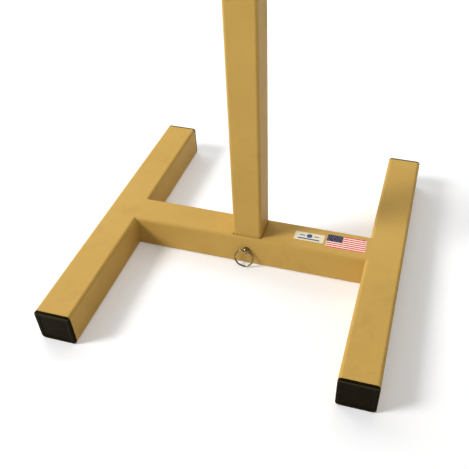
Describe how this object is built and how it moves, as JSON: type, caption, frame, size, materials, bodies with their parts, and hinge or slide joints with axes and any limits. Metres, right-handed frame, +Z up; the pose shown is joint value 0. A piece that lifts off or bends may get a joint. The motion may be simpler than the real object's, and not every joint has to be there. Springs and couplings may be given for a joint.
{
  "type": "flag pole stand",
  "caption": "Flag pole stand: square-tube H base with capped runners, a square upright held in the crossbar by a ring pin, and a clamped round pole sleeve in its top.",
  "frame": {"origin": "on the floor, under the middle of the crossbar and of the upright", "axes": "+Z up along the upright and the pole, X along the crossbar, the ring pin's head faces -Y"},
  "size_m": [0.6736, 0.7016, 0.9242],
  "materials": {
    "gold_powder_coat": "satin gold-tan powder coat",
    "black_plastic": "moulded black polyethylene, low sheen",
    "white_label": "gloss white vinyl",
    "flag_label": "gloss printed vinyl",
    "polished_steel": "polished, slightly tarnished steel",
    "spring_wire": "drawn steel wire",
    "zinc_steel": "zinc plated",
    "black_knob": "moulded phenolic, semi gloss",
    "nylon": "natural nylon"
  },
  "bodies": {
    "stand": {"left_runner": "gold_powder_coat", "right_runner": "gold_powder_coat", "crossbar": "gold_powder_coat", "left_weld_seam": "gold_powder_coat", "right_weld_seam": "gold_powder_coat", "left_socket_plate": "gold_powder_coat", "right_socket_plate": "gold_powder_coat", "left_front_cap": "black_plastic", "left_rear_cap": "black_plastic", "right_front_cap": "black_plastic", "right_rear_cap": "black_plastic", "maker_label": "white_label", "flag_label": "flag_label", "upright_tube": "gold_powder_coat", "top_plate": "gold_powder_coat", "pole_sleeve": "gold_powder_coat", "sleeve_spacer": "gold_powder_coat", "pole_stop": "gold_powder_coat", "clamp_nut": "gold_powder_coat"},
    "lock_pin": {"lock_pin": "polished_steel", "detent_spring": "spring_wire"},
    "pull_ring": {"pull_ring": "polished_steel"},
    "detent_ball": {"detent_ball": "polished_steel"},
    "clamp_tip": {"clamp_tip": "nylon"},
    "clamp_screw": {"clamp_screw": "zinc_steel", "clamp_knob": "black_knob"}
  },
  "joints": [
    {"name": "pin_pull", "type": "slide", "parent": "stand", "child": "lock_pin", "axis": [0, -1, 0], "range_m": [0, 0.1]},
    {"name": "ring_swing", "type": "hinge", "parent": "lock_pin", "child": "pull_ring", "pos_m": [0, -0.0431, 0.043], "axis": [-0.9759, 0, 0.2181], "range_deg": [-13.5, 170]},
    {"name": "detent_press", "type": "slide", "parent": "lock_pin", "child": "detent_ball", "axis": [0, 0, 1], "range_m": [0, 0.0004], "stiffness_N_per_m": 200, "deforming": ["detent_spring"]},
    {"name": "clamp_advance", "type": "slide", "parent": "stand", "child": "clamp_tip", "axis": [-1, 0, 0], "range_m": [-0.0121, 0.0091]},
    {"name": "clamp_turn", "type": "hinge", "parent": "clamp_tip", "child": "clamp_screw", "pos_m": [0.053, 0, 0.87116], "axis": [-1, 0, 0], "range_deg": [-2880, 2160]}
  ],
  "couplings": [
    {"joint": "clamp_advance", "follows": "clamp_turn", "m_per_rad": 0.00023873}
  ]
}
